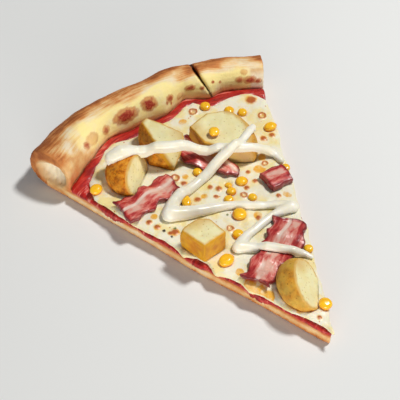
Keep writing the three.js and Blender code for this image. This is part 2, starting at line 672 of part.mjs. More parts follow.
function makeBead(stations, supportAt) {
  const spots = beadStations(stations, supportAt);
  const ringAt = ({ x, y, along, width, low, rest }, shift, scale) => {
    const height = width * BEAD_HEIGHT_RATIO;
    const floor = (low - rest > 1 ? Math.max(rest, low - 0.8 * height) : low) + 0.35;
    return Array.from({ length: BEAD_SIDES }, (unused, k) => {
      const arc = (2 * Math.PI * (k + 0.5)) / BEAD_SIDES;
      const side = (width / 2) * scale * Math.cos(arc);
      const up = Math.sin(arc) > 0 ? height * scale * Math.sin(arc) ** 0.8 : 0;
      const base = lerp(low + 0.25 * height, floor, Math.min(1, scale + 0.2));
      const z = Math.sin(arc) > 0 ? low + up : base;
      return [x + along.x * shift - along.y * side, y + along.y * shift + along.x * side, z];
    });
  };
  const first = spots[0];
  const last = spots[spots.length - 1];
  const tipAt = ({ x, y, along, width, low }, way) => [
    x + (along.x * way * width) / 2,
    y + (along.y * way * width) / 2,
    low + 0.2 * width * BEAD_HEIGHT_RATIO,
  ];
  const rings = [
    ringAt(first, -0.36 * first.width, 0.7),
    ...spots.map((spot) => ringAt(spot, 0, 1)),
    ringAt(last, 0.36 * last.width, 0.7),
  ];
  return solidOf(loft(tipAt(first, -1), rings, tipAt(last, 1)));
}

// ---- Assembly ----
const toppings = makeToppings(0);
const clearance = makeToppings(GAP);
const sum = (solids) => solids.reduce((all, solid) => all.add(solid));

// A solid with room made in it for whichever of its neighbours it meets
function carve(solid, neighbours) {
  return neighbours.reduce((left, neighbour) => {
    return left.intersect(neighbour).isEmpty() ? left : left.subtract(neighbour);
  }, solid);
}

const UNDER_POTATO_3 = 1;
toppings.bacon = toppings.bacon.map((strip, i) => {
  const potatoes = clearance.potatoes.filter((unused, k) => i !== UNDER_POTATO_3 || k !== 2);
  return carve(strip, potatoes);
});
toppings.potatoes[2] = toppings.potatoes[2].subtract(clearance.bacon[UNDER_POTATO_3]);
toppings.kernels = toppings.kernels.map((kernel, i) => {
  return i === CORN_ON_POTATO ? kernel : carve(kernel, [...clearance.potatoes, ...clearance.bacon]);
});

const onToppings = [...toppings.potatoes, ...toppings.bacon, ...toppings.kernels];
const beads = [];
DRIZZLE.forEach((stations, i) => {
  const under = i === 1 ? [...onToppings, beads[0]] : onToppings;
  beads.push(makeBead(stations, makeSupport(under)));
});
const clearOfToppings = sum([...clearance.potatoes, ...clearance.bacon, ...clearance.kernels]);
const mayonnaise = sum(beads).subtract(clearOfToppings);

const dough = trimToWedge(makeDough());
const crust = makeCrust(dough);
const sauce = makeSauce()
  .subtract(makeCheese(GAP))
  .subtract(dough.translate([0, 0, 0.98 * GAP]))
  .subtract(dough.translate([0, -GAP, 0]));
const cheese = makeCheese(0).subtract(clearOfToppings);

const slice = new THREE.Group();

function addPiece(name, solid, finish) {
  const mesh = new THREE.Mesh(geometryOf(solid), new THREE.MeshStandardMaterial(MATERIALS[finish]));
  mesh.geometry.computeVertexNormals();
  mesh.name = name;
  slice.add(mesh);
}

addPiece("crust", crust, "crust");
addPiece("tomato_sauce", sauce, "sauce");
addPiece("cheese", cheese, "cheese");
addPiece("mayonnaise", mayonnaise, "mayonnaise");
toppings.potatoes.forEach((solid, i) => addPiece(`potato_${i + 1}`, solid, "potato"));
toppings.bacon.forEach((solid, i) => addPiece(`bacon_${i + 1}`, solid, "bacon"));
toppings.kernels.forEach((solid, i) => {
  addPiece(`corn_${String(i + 1).padStart(2, "0")}`, solid, "corn");
});

const box = new THREE.Box3().setFromObject(slice);
const middle = box.getCenter(new THREE.Vector3());
slice.position.set(-middle.x, -middle.y, -box.min.z);
slice.updateMatrixWorld(true);

export default slice;
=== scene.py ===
# A slice of pizza with a risen rim, tomato sauce, melted cheese, potato chunks, bacon, sweetcorn
# and a drizzle of mayonnaise. Lengths in the tables are millimetres, counted from the slice's
# tip, with +Y towards the rim. Angles round the pizza are in degrees from +Y towards +X.
import functools
import math

import bpy
import numpy as np
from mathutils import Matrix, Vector, kdtree, noise


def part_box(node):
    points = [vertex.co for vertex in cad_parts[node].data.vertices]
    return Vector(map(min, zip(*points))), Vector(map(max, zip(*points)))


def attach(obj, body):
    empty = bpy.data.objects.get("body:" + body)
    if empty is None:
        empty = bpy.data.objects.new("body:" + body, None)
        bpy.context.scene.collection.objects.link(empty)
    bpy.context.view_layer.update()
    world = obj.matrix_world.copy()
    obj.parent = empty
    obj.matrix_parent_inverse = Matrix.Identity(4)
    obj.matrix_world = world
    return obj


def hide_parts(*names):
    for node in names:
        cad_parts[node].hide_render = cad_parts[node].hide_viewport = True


bl_info = {
    "name": "Pizza Slice",
    "version": (1, 0, 0),
    "blender": (4, 5, 0),
    "location": "View3D > Sidebar > Pizza",
    "description": "Dresses a slice of pizza with potato, bacon, sweetcorn and mayonnaise",
    "category": "Object",
}

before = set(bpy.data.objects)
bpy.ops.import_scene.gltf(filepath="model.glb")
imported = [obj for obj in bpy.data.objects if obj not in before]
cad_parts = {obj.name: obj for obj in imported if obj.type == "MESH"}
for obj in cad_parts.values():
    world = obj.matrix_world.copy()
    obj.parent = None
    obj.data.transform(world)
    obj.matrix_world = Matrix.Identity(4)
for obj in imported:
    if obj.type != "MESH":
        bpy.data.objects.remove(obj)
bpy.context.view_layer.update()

# ---- Measures ----
MM = 0.001
TIP = np.array([0.2758, -87.7130, 0.0])  # the slice's tip in the frame, in millimetres
HALF_ANGLE = 23.2  # from the slice's middle to each straight cut
RIM_START = 153.0  # from the tip, as is the crest
CREST_RADIUS = 170.0
RIM_MIDDLE_HEIGHT = 11.5
RIM_ROLL_RADIUS = 11.0
END_TAPER = 4.2  # how far the rim's two ends turn in
SAUCE_BOTTOM = 6.3
LAYER_GAP = 0.3
CHEESE_TOP = 11.2
POTATO_BOTTOM = 10.2
CORN_BOTTOM = 9.7
CORN_ON_CHUNK = CHEESE_TOP + 2  # a kernel whose solid starts higher lies on a potato chunk
CORN_HEIGHT = 0.7  # of the mean of a kernel's length and width
MERGE_DISTANCE = 0.002 * MM  # corners of a solid that are nearer than this are one

# The camera's place, worked out from the photograph
IMAGE_SIZE = 400
LENS = 100.0
SENSOR = 36.0
CAMERA_AZIMUTH = -31.934
CAMERA_ELEVATION = 49.869
CAMERA_DISTANCE = 554.65
CAMERA_TARGET = (-4.72, 104.25, 0.0)

# The slit across the rim: a point of it, and the plane that it lies in
SLIT_START = np.array([31.9, 184.0, 22.5])
SLIT_HEADING = 185.5
SLIT_LEAN = 22.0

# The hollow crumb in the rim's cut ends: distance from the tip, height, half length and half height
CRUMB = (162.0, 11.8, 9.2, 8.0)

# Blisters of the rim: pixel x and y, length along the rim, width, how burnt
BLISTERS = [
    (126, 116, 13.5, 7.5, 1.0), (149, 104, 9.0, 7.0, 1.0), (170, 98, 5.5, 3.6, 0.85),
    (106, 130, 4.4, 5.0, 0.7), (93, 139, 9.0, 6.0, 0.45), (87, 146, 4.0, 4.0, 0.9),
    (71, 163, 6.0, 5.0, 0.9), (190, 88, 6.0, 3.2, 0.9), (202, 88, 2.6, 2.0, 0.8),
    (240, 80, 5.0, 3.6, 0.75), (250, 80, 7.0, 4.4, 0.95), (258, 81, 4.0, 3.0, 0.9),
    (244, 72, 3.8, 3.0, 0.5), (213, 82, 1.8, 1.5, 1.0), (220, 82, 1.6, 1.2, 0.7),
    (167, 103, 1.6, 2.2, 0.8), (171, 103, 1.5, 2.0, 0.8), (180, 96, 5.0, 3.4, 0.4),
]

# Toasted spots of the cheese, by what the oven made of them: pixel x and y, and width
CHEESE_SPOTS = {
    "gold": [
        (182.5, 122, 5), (204.4, 196.3, 4), (259.3, 169.5, 7), (154.1, 216.5, 4.5),
        (249, 285.8, 8), (258.3, 292, 9), (267.4, 297.3, 8), (286, 194, 4), (289.7, 195.3, 3),
        (176, 214, 4), (185, 177, 4), (236, 118, 5), (262, 157, 5), (258, 215, 5), (240, 272, 5),
        (300, 311, 4),
    ],
    "ring": [
        (175.4, 178.2, 4.4), (193, 112, 4.6), (230.2, 228.6, 3.6), (262, 116, 4.4),
        (265, 163.2, 3.4), (244, 195, 3.6),
    ],
    "rust": [
        (183.7, 183.6, 3), (210.2, 187.4, 2.6), (218.8, 189, 3), (215.9, 196.6, 2.4),
        (197.7, 199.5, 3), (255.1, 181, 2.6), (246.8, 187.7, 2.6), (263.4, 138.3, 3.2),
        (272, 135, 3), (251, 100, 5.4), (258.6, 217.4, 2.6), (157.6, 227.1, 3),
        (170.4, 233.2, 2.4), (175.2, 231.9, 4), (149.3, 222.7, 2.8), (319.5, 317.5, 2.2),
        (278.8, 195.9, 2.4), (194, 207, 2.4), (248, 172, 2.4),
    ],
    "char": [(164, 230.6, 1.8), (172, 237, 1.4)],
    "herb": [(227.4, 214.8, 1.4), (175, 228, 1.6), (222, 205, 1.2)],
    "butter": [(103, 203.6, 8)],
}

# Each potato chunk is an oval tuber: middle, radii, turn, how dark its skin is, the heading of its
# most golden side, and its flat cuts.
# A cut has its heading, tilt and offset, and how golden the oven has made it, where SKIN stands for
# a face that still has its skin.
SKIN = 1.0
POTATOES = [
    ((-8, 133, 17), (12.9, 16.6, 14), 0, 0.8, 116,
     [(0, 88, 7.4, 0.0), (-83.6, 15.4, 8.4, SKIN), (-130, 0.9, 10.4, SKIN),
      (-158, 16.6, 10.8, 0.0), (116, -22, 6.2, 0.3), (62, 4, 6.1, 0.3)]),
    ((-31.6, 126.6, 14.5), (12, 12.8, 8.6), 10, 1.0, 25,
     [(140, 24, 4.1, 0.05)]),
    ((17, 121, 14), (18.5, 22, 13), 0, 0.5, -80,
     [(0, 89, 7.2, 0.0), (-92, 3, 9.8, 0.75), (-123, 3, 8.8, 0.75), (-151, 3, 10.4, 0.6),
      (-16, 4, 15, 0.4), (20, 4, 16, 0.4)]),
    ((-23.4, 70.3, 16), (12, 11.6, 14), 0, 0.5, 0,
     [(0, 90, 6.8, 0.0), (78, 0, 7.6, 0.9), (-108, 0, 6.2, 0.98), (-8, 0, 8.6, 0.9),
      (171.6, 0, 6.2, 0.92), (36, 0, 8.4, 0.9)]),
    ((1.6, 26.8, 14.5), (11.2, 13.8, 9.8), 4, 0.45, 0,
     [(124.6, 41, 3, 0.0)]),
]

# Bacon: the first and the last point of each strip's middle line, its width, where its line of fat
# lies across it, from -1 to 1, and where the broad pale streak lies and how wide that is
BACON = [
    ((-46.6, 107.3), (-15.5, 111.8), 14.0, 0.1, -0.15, 0.75),
    ((3.2, 134.5), (15, 100), 12.0, 0.1, -0.25, 1.1),
    ((22.8, 86.8), (35.4, 86.8), 11.6, 1.6, 0.15, 0.6),
    ((19.6, 62.4), (-15, 40.2), 15.5, -0.05, 0.2, 0.75),
]

# Sweetcorn kernels: x, y, length, width, heading of the point
CORN = [
    (-49.5, 128.4, 6.6, 5.6, 70), (26.2, 148.8, 5.8, 5.4, 20), (35.2, 139.8, 5.2, 5, -30),
    (40.4, 135, 5.2, 4.8, 50), (14.3, 121.6, 5.6, 5.4, 15), (46.8, 118.4, 7, 5.2, 95),
    (-1.4, 111.8, 5.2, 4.8, 200), (13.9, 95.2, 6.2, 5.4, 110), (6.2, 92.6, 5, 4.6, 160),
    (2.2, 89, 5, 4.8, 0), (13, 84.2, 4.4, 4.4, 60), (-16.2, 98.6, 7.6, 4.6, 25),
    (1.2, 78, 7, 6.6, 300), (-6, 68.4, 5.8, 5.2, 240), (-18.9, 58, 8, 6.2, 85),
    (37.6, 91.6, 4.6, 4.4, 10), (17.6, 44, 4.8, 4.6, 30), (5.6, 14.2, 6.4, 6, 350),
    (7.2, 97, 3.6, 3.2, 330),
]


# ---- Colours, settings and nodes ----
def linear(code):
    """An sRGB hex colour as linear red, green and blue."""
    parts = [int(code[i:i + 2], 16) / 255 for i in (1, 3, 5)]
    return tuple(c / 12.92 if c <= 0.04045 else ((c + 0.055) / 1.055) ** 2.4 for c in parts)


def opaque(colour):
    """A colour with full alpha, from an sRGB hex code or from a setting, which is linear."""
    return (*(linear(colour) if isinstance(colour, str) else colour), 1.0)


def colour_setting(name, description, code):
    """A setting for a colour, from its sRGB hex code."""
    return bpy.props.FloatVectorProperty(
        name=name, description=description, subtype="COLOR", size=3, default=linear(code))


def face_size(whose, size):
    """A setting for how fine a piece's skin is, in millimetres."""
    return bpy.props.FloatProperty(
        name="Face size", description=f"Size of the faces of {whose} skin", default=size * MM,
        unit="LENGTH", precision=5)


def per_metre(size):
    """The scale of a pattern on Object coordinates whose repeat is this many millimetres."""
    return 1 / (size * MM)


# Sockets of the Mix node for colours
FACTOR, UNDER, OVER = 0, 6, 7


def feed(node, sources):
    """Gives a node's sockets their values, their colours or what feeds them.

    A node in the place of a socket stands for its first output that is in use.
    """
    for key, source in sources.items():
        socket = node.inputs[key]
        if isinstance(source, bpy.types.Node):
            source = next(output for output in source.outputs if output.enabled)
        if isinstance(source, bpy.types.NodeSocket):
            node.id_data.links.new(source, socket)
        else:
            socket.default_value = opaque(source) if socket.type == "RGBA" else source


def add_node(tree, kind, sources=None, **settings):
    """Adds a node with its settings, and feeds its sockets."""
    node = tree.nodes.new("ShaderNode" + kind)
    for key, value in settings.items():
        setattr(node, key, value)
    feed(node, sources or {})
    return node


def set_stops(ramp, *stops):
    """Gives a colour ramp its stops, each a position and a colour."""
    elements = ramp.color_ramp.elements
    for _ in stops[2:]:
        elements.new(0.5)
    for element, (position, colour) in zip(elements, stops):
        element.position = position
        element.color = opaque(colour)


def start_material(name, *attributes):
    """A new material, what adds its nodes, its shader, where a point lies, and its masks."""
    material = bpy.data.materials.new(name)
    material.use_nodes = True
    material.node_tree.nodes.clear()
    add = functools.partial(add_node, material.node_tree)
    shader = add("BsdfPrincipled")
    add("OutputMaterial", {"Surface": shader})
    place = add("TexCoord").outputs["Object"]
    masks = {key: add("Attribute", attribute_name=key).outputs["Fac"] for key in attributes}
    return material, add, shader, place, masks


# ---- Meshes ----
def choose(*pieces):
    """Only these objects are selected, and the first is the active one."""
    bpy.ops.object.select_all(action="DESELECT")
    for piece in pieces:
        piece.select_set(True)
    bpy.context.view_layer.objects.active = pieces[0]


def apply_modifier(piece, kind, **settings):
    choose(piece)
    modifier = piece.modifiers.new(kind.title(), kind)
    for key, value in settings.items():
        setattr(modifier, key, value)
    bpy.ops.object.modifier_apply(modifier=modifier.name)


def copy_solid(node, name):
    """A copy of a node's solid with its loose corners merged, as a piece of its own."""
    choose(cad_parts[node])
    bpy.ops.object.duplicate()
    piece = bpy.context.active_object
    piece.name = name
    piece.parent = None
    for key in list(piece.keys()):
        del piece[key]
    piece.data.materials.clear()
    bpy.ops.object.mode_set(mode="EDIT")
    bpy.ops.mesh.select_all(action="SELECT")
    bpy.ops.mesh.remove_doubles(threshold=MERGE_DISTANCE)
    bpy.ops.object.mode_set(mode="OBJECT")
    return piece


def remesh(piece, grain):
    """Gives the piece an even skin of small faces."""
    apply_modifier(piece, "REMESH", mode="VOXEL", voxel_size=grain, adaptivity=0.0)


def smooth(piece, rounds, weights=None):
    """Rounds the piece off, more where the weights of its points are higher."""
    if weights is None:
        apply_modifier(piece, "SMOOTH", factor=0.5, iterations=rounds)
        return
    group = piece.vertex_groups.new(name="rounding")
    for level in np.unique(np.round(weights, 1)):
        members = np.flatnonzero(np.round(weights, 1) == level)
        group.add(members.tolist(), float(level), "REPLACE")
    apply_modifier(piece, "SMOOTH", factor=0.5, iterations=rounds, vertex_group=group.name)
    piece.vertex_groups.clear()


def read_vectors(piece, field):
    flat = np.empty(len(piece.data.vertices) * 3, np.float32)
    piece.data.vertices.foreach_get(field, flat)
    return flat.reshape(-1, 3).astype(float)


def read_points(piece):
    """The piece's points in millimetres from the slice's tip."""
    return read_vectors(piece, "co") / MM - TIP


def write_points(piece, points):
    piece.data.vertices.foreach_set("co", ((points + TIP) * MM).astype(np.float32).ravel())
    piece.data.update()


def read_normals(piece):
    return read_vectors(piece, "normal")


def store(piece, **attributes):
    """Keeps values or vectors for the piece's points as attributes, which its material reads."""
    for name, values in attributes.items():
        kind, field = ("FLOAT_VECTOR", "vector") if values.ndim == 2 else ("FLOAT", "value")
        attribute = piece.data.attributes.new(name, kind, "POINT")
        attribute.data.foreach_set(field, values.astype(np.float32).ravel())


def ramp(values, low, high):
    """Rises smoothly from 0 at low to 1 at high, or falls where low is above high."""
    t = np.clip((values - low) / (high - low), 0, 1)
    return t * t * (3 - 2 * t)


def lumps(points, size, seed):
    """Smooth noise between about -1 and 1, with lumps of this many millimetres."""
    start = Vector((seed, 1.7 * seed, -seed))
    return np.array([noise.noise(Vector(p) / size + start) for p in points.tolist()])


def pores(points, size, seed):
    """Distance to the middle of the nearest bubble, from 0 to about 1."""
    start = Vector((seed, 1.7 * seed, -seed))
    return np.array([noise.voronoi(Vector(p) / size + start)[0][0] for p in points.tolist()])


def around_tip(points):
    """Distance from the tip, and angle in degrees from +Y towards +X."""
    return np.hypot(points[:, 0], points[:, 1]), np.degrees(np.arctan2(points[:, 0], points[:, 1]))


def heading(angle, tilt=0):
    """The direction with this angle, tilted up from level."""
    a, up = math.radians(angle), math.radians(tilt)
    return np.array([math.sin(a) * math.cos(up), math.cos(a) * math.cos(up), math.sin(up)])


def turning(angle):
    """The matrix that turns the direction +Y to the level one with this angle."""
    a = math.radians(-angle)
    return np.array([[math.cos(a), -math.sin(a), 0], [math.sin(a), math.cos(a), 0], [0, 0, 1]])


def beyond_cuts(vectors):
    """How far points lie outside the straight cuts, or how much directions face out of them."""
    left, right = heading(-HALF_ANGLE - 90), heading(HALF_ANGLE + 90)
    return np.maximum(vectors @ left, vectors @ right)


def slit_distance(points):
    """How far points lie from the plane of the slit, which leans to the left."""
    return np.abs((points - SLIT_START) @ heading(SLIT_HEADING - 90, SLIT_LEAN))


def finish_piece(piece, material, slot, *nodes):
    """Shades the piece smooth, gives it its material and sets it in the frame."""
    choose(piece)
    bpy.ops.object.shade_smooth()
    piece.data.name = piece.name
    piece.data.materials.clear()
    piece.data.materials.append(material)
    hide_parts(*nodes)
    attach(piece, "root")


# ---- The camera, and what its pixels fall on ----
def camera_axes():
    """The camera's place in millimetres from the tip, and the ways it looks, right and up."""
    azimuth, elevation = math.radians(CAMERA_AZIMUTH), math.radians(CAMERA_ELEVATION)
    back = Vector((math.sin(azimuth) * math.cos(elevation),
                   -math.cos(azimuth) * math.cos(elevation), math.sin(elevation)))
    right = Vector((math.cos(azimuth), math.sin(azimuth), 0))
    return Vector(CAMERA_TARGET) + back * CAMERA_DISTANCE, -back, right, right.cross(-back)


def seen_at(piece, x, y):
    """The point of the piece that shows at a pixel, in millimetres from the tip, or None."""
    place, ahead, right, up = camera_axes()
    focal = LENS / SENSOR * IMAGE_SIZE
    half = IMAGE_SIZE / 2
    way = ahead + right * ((x - half) / focal) - up * ((y - half) / focal)
    hit, point, _, _ = piece.ray_cast((place + Vector(TIP)) * MM, way.normalized())
    return np.array(point) / MM - TIP if hit else None


def spot_distance(points, centre, length, width):
    """Distance from an oval spot's middle: 0 there and 1 on its edge, its length along the rim."""
    radius = math.hypot(centre[0], centre[1])
    along = np.array([centre[1], -centre[0], 0]) / radius
    offset = points - centre
    run = offset @ along
    rest = offset - run[:, None] * along
    return np.sqrt((run / (length / 2)) ** 2 + np.sum((rest / (width / 2)) ** 2, axis=1))


# ---- Crust ----
class CrustLook(bpy.types.PropertyGroup):
    grain: face_size("the dough's", 0.66)
    flour: colour_setting("Floury dough", "Palest dough, along the top of the rim", "#EADABA")
    butter: colour_setting(
        "Buttery dough", "Yellow patches on the inner side of the rim", "#FBE99E")
    toasted: colour_setting("Toasted dough", "Browned dough on the outside of the rim", "#CC8346")
    dark: colour_setting("Dark dough", "Darkest streaks of the rim's edge", "#9A5528")
    blister: colour_setting("Blister", "Burnt middle of a blister", "#9C2A1A")
    crumb: colour_setting("Crumb", "Soft inside of the rim", "#F0E2C6")


def dough_material(look):
    """Oven-baked wheat dough: matt, floury on top and toasted outside, with fine streaks."""
    material, add, shader, place, masks = start_material(
        "Oven-baked wheat dough", "toast", "butter", "smear", "blister", "char", "crumb", "rind",
        "slit", "stretch")
    run = add("Attribute", attribute_name="run").outputs["Vector"]
    # Streaks 1 mm wide that the stretched skin shows along the rim
    streaks = add("TexNoise", {"Vector": run, "Scale": 1.0, "Detail": 5.0, "Roughness": 0.65})
    streaks = add("Mix", {0: masks["stretch"], 2: 0.5, 3: streaks}, data_type="FLOAT")
    mottle = add("TexNoise", {"Vector": place, "Scale": per_metre(7), "Detail": 4.0})
    fine = add("TexNoise", {"Vector": place, "Scale": per_metre(0.9), "Detail": 3.0})

    swing = add("MapRange", {"Value": streaks, 1: 0.3, 2: 0.7, 3: -0.25, 4: 0.25})
    uneven = add("MapRange", {"Value": mottle, 1: 0.3, 2: 0.7, 3: -0.2, 4: 0.2})
    browned = add("Math", {0: masks["toast"], 1: swing}, operation="ADD")
    browned = add("Math", {0: browned, 1: uneven}, operation="ADD", use_clamp=True)
    colour = add("ValToRGB", {"Fac": browned})
    set_stops(
        colour, (0.08, look.flour), (0.4, "#E3BA80"), (0.7, look.toasted), (1.0, look.dark))
    buttered = add("Math", {0: masks["butter"], 1: mottle}, operation="MULTIPLY")
    buttered = add("MapRange", {"Value": buttered, 1: 0.18, 2: 0.5, 3: 0.0, 4: 0.9})
    # The crumb turns tan towards the hollow's edge: browner crumb next to the crust, and painted
    # shade on the hollow's walls
    inside = add("Mix", {
        FACTOR: masks["rind"], UNDER: look.crumb, OVER: "#D2A874"}, data_type="RGBA")
    speckle = add("MapRange", {"Value": fine, 1: 0.4, 2: 0.8, 3: 0.0, 4: 1.0})
    burnt = add("Mix", {FACTOR: speckle, UNDER: look.blister, OVER: "#C6623C"}, data_type="RGBA")
    layers = [
        (buttered, look.butter), (masks["crumb"], inside), (masks["blister"], "#D18B47"),
        # The slit's dark line is painted shade in the crack
        (masks["smear"], "#CC5B35"), (masks["char"], burnt), (masks["slit"], "#3A2013"),
    ]
    for mask, layer in layers:
        colour = add("Mix", {FACTOR: mask, UNDER: colour, OVER: layer}, data_type="RGBA")

    bump = add("Bump", {"Height": fine, "Distance": 0.25 * MM, "Strength": 0.6})
    bump = add("Bump", {"Height": streaks, "Distance": 0.3 * MM, "Strength": 0.5, "Normal": bump})
    feed(shader, {
        "Base Color": colour, "Roughness": 0.72, "Normal": bump, "Specular IOR Level": 0.3,
        "Subsurface Weight": 0.1, "Subsurface Radius": (1.0, 0.6, 0.3),
        "Subsurface Scale": 1.2 * MM})
    return material


class OBJECT_OT_pizza_crust(bpy.types.Operator):
    """Makes the flat base and the risen rim of baked dough"""
    bl_idname = "object.pizza_crust"
    bl_label = "Crust"

    def execute(self, context):
        look = context.scene.pizza_crust
        piece = copy_solid("crust", "baked_dough")
        remesh(piece, look.grain)

        points = read_points(piece)
        radius, _ = around_tip(points)
        skin = ramp(-beyond_cuts(points), 0.9, 3.2) * ramp(radius, RIM_START - 3, RIM_START + 5)
        smooth(piece, 36, 0.06 + 0.9 * skin * ramp(slit_distance(points), 1.2, 3.0))

        points = read_points(piece)
        normals = read_normals(piece)
        radius, angle = around_tip(points)
        height = points[:, 2]
        inside = -beyond_cuts(points)
        rim = ramp(radius, RIM_START, RIM_START + 6)
        skin = ramp(inside, 0.5, 1.8) * rim
        # Degrees round the rim's roll that a point lies: 0 outwards, 90 on top, 180 inwards
        crest = CREST_RADIUS - END_TAPER * (ramp(-angle, 14.5, 23.5) + ramp(angle, 8, 24))
        roll = np.degrees(np.arctan2(height - RIM_MIDDLE_HEIGHT, radius - crest))
        roll = np.where(roll < -90, roll + 360, roll)
        along = np.radians(angle) * CREST_RADIUS
        around = np.radians(roll) * RIM_ROLL_RADIUS

        relief = 0.42 * lumps(points, 13, 1) + 0.2 * lumps(points, 5, 2)
        relief += 0.09 * lumps(points, 1.8, 3)
        wrinkles = lumps(np.column_stack([along / 9, around / 1.3, 0 * along]), 1, 4)
        moved = skin * (relief + 0.12 * wrinkles) + (1 - rim) * 0.08 * lumps(points, 2.2, 5)

        blister = np.zeros(len(points))
        char = np.zeros(len(points))
        for x, y, length, width, burnt in BLISTERS:
            centre = seen_at(piece, x, y)
            if centre is None:
                raise RuntimeError(f"no crust at pixel {x}, {y}")
            away = spot_distance(points, centre, length, width)
            away += 0.16 * lumps(points, 2.7, x) + 0.12 * lumps(points, 1.1, y)
            moved += 0.55 * min(width, 6) / 6 * ramp(away, 1.15, 0.35)
            blister = np.maximum(blister, (0.3 + 0.5 * burnt) * ramp(away, 1.2, 0.85))
            ring = 0.35 * ramp(np.abs(away - 0.98), 0.2, 0.06)
            middle = ramp(away + 0.3 * lumps(points, 1.5, y), 0.85, 0.45) * (burnt > 0.6)
            char = np.maximum(char, burnt * np.maximum(ring, middle))
        blister *= skin
        char *= skin

        # The torn crumb of the cut ends is full of bubbles
        distance, middle, half_length, half_height = CRUMB
        along_cut = radius * np.cos(np.radians(np.abs(angle) - HALF_ANGLE))
        oval = np.hypot((along_cut - distance) / half_length, (height - middle) / half_height)
        hollow = ramp(oval, 1.12, 0.92) * ramp(inside, 9, 7)
        torn = np.flatnonzero((hollow > 0.02) & (inside < 9))
        bubbles = pores(points[torn], 2.6, 7)
        depth = 0.35 - 0.2 * np.sign(angle[torn])
        moved[torn] -= depth * hollow[torn] * ramp(bubbles, 0.55, 0.15)
        cut_face = ramp(beyond_cuts(normals), 0.55, 0.85) * ramp(inside, 2.5, 1.0)
        sides = np.flatnonzero(cut_face > 0.02)
        moved[sides] -= 0.35 * cut_face[sides] * ramp(pores(points[sides], 1.8, 9), 0.45, 0.1)
        write_points(piece, points + normals * moved[:, None])

        # Browned outwards and all round the left end, pale over the crest and down to the sauce
        uneven = lumps(np.column_stack([along / 16, around / 7, 0 * along]), 1, 14)
        toast = 0.9 * ramp(roll + 32 * uneven - 13 * ramp(angle, -3, -12), 124, 62)
        toast *= ramp(roll, -90, -20)
        toast = np.maximum(toast, 0.78 * ramp(-angle, 18, 22.8) * ramp(roll, 195, 150))
        toast = np.maximum(toast, 0.45 * ramp(angle, 21.5, 23.2) * ramp(roll, 130, 90))
        # One toasted patch lies on the crest, left of the middle
        patch = np.hypot((angle + 4.5) / 6, (roll - 92) / 34) + 0.35 * uneven
        toast = np.maximum(toast, 0.62 * ramp(patch, 1.1, 0.5))
        toast = np.maximum(toast, 0.6 * ramp(height, 6.5, 2))
        side = 0.52 + 0.14 * ramp(radius, 120, 40) - 0.24 * ramp(np.abs(height - 3.4), 2.2, 0.8)
        toast = rim * toast + (1 - rim) * side
        toast = np.where(height < 0.9, 0.8, toast)
        # Round the hollow crumb of a cut end runs a browned rind
        rind = cut_face * rim * ramp(oval, 1.0, 1.2)
        toast = np.maximum(toast, 0.88 * rind * ramp(roll, 215, 190))
        crumb = hollow * ramp(inside, -0.8, 0.2)
        # Sauce that has run over the base, and some on the rim's foot
        smear = ramp(radius, RIM_START, RIM_START - 4) * ramp(height, 3.6, 5.8)
        smear *= ramp(lumps(points, 6, 17), -0.5, 0.4)
        splashed = ramp(height, 10, 8) * ramp(roll, 160, 178)
        splashed *= ramp(lumps(points, 4, 18), -0.2, 0.5)
        store(
            # Tan towards the hollow's edge: partly browner crumb, partly painted shade on the
            # hollow's walls
            piece, toast=toast, rind=ramp(oval, 0.55, 1.05),
            smear=0.75 * (smear + skin * (1 - hollow) * splashed),
            butter=ramp(roll + 20 * uneven, 94, 124) * skin * ramp(angle, -21, -14),
            blister=blister, char=char, crumb=crumb,
            # A dark line along the slit: painted shade in the crack
            slit=ramp(slit_distance(points), 0.75, 0.3) * rim * ramp(height, 7, 9),
            stretch=skin * ramp(roll, 5, 55),
            run=np.column_stack([along / 12, around / 1.1, 0 * along]))
        finish_piece(piece, dough_material(look), "crust", "crust")
        return {"FINISHED"}


# ---- Sauce ----
class SauceLook(bpy.types.PropertyGroup):
    grain: face_size("the sauce's", 0.62)
    deep: colour_setting("Deep sauce", "Darkest tomato sauce", "#8E1113")
    bright: colour_setting("Bright sauce", "Tomato sauce where it is thin", "#C53227")


def sauce_material(look):
    """Cooked tomato sauce: a wet pulp, crimson where thick and lighter along its streaks, whose
    palest pink is a painted highlight.
    """
    material, add, shader, place, _ = start_material("Cooked tomato sauce")
    run = add("Attribute", attribute_name="run").outputs["Vector"]
    streaks = add("TexNoise", {"Vector": run, "Scale": 1.0, "Detail": 4.0, "Distortion": 0.8})
    pulp = add("TexNoise", {"Vector": place, "Scale": per_metre(1.4), "Detail": 4.0})
    colour = add("ValToRGB", {"Fac": streaks})
    # The palest stop, pink, is a painted highlight along the streaks
    set_stops(
        colour, (0.36, look.deep), (0.48, "#B31D1A"), (0.58, look.bright), (0.7, "#E39080"))
    bump = add("Bump", {"Height": pulp, "Distance": 0.3 * MM, "Strength": 0.7})
    feed(shader, {
        "Base Color": colour, "Roughness": 0.36, "Normal": bump, "Coat Weight": 0.15,
        "Coat Roughness": 0.15, "Subsurface Weight": 0.15,
        "Subsurface Radius": (1.0, 0.25, 0.15), "Subsurface Scale": 1.0 * MM})
    return material


class OBJECT_OT_pizza_sauce(bpy.types.Operator):
    """Makes the layer of tomato sauce, its band before the rim and its runs down the left cut"""
    bl_idname = "object.pizza_sauce"
    bl_label = "Tomato sauce"

    def execute(self, context):
        look = context.scene.pizza_sauce
        piece = copy_solid("tomato_sauce", "tomato_sauce_layer")
        remesh(piece, look.grain)
        smooth(piece, 7)
        points = read_points(piece)
        normals = read_normals(piece)
        radius, angle = around_tip(points)
        moved = 0.22 * lumps(points, 4.5, 11) + 0.14 * lumps(points, 1.9, 12)
        points += normals * moved[:, None]
        # The sauce lies on the dough, without the gap that the solids keep
        points[:, 2] -= LAYER_GAP * ramp(points[:, 2], SAUCE_BOTTOM + 1.2, SAUCE_BOTTOM)
        write_points(piece, points)
        along = np.radians(angle) * radius
        store(piece, run=np.column_stack([along / 14, radius / 2.2, points[:, 2] / 4]))
        finish_piece(piece, sauce_material(look), "tomato_sauce", "tomato_sauce")
        return {"FINISHED"}


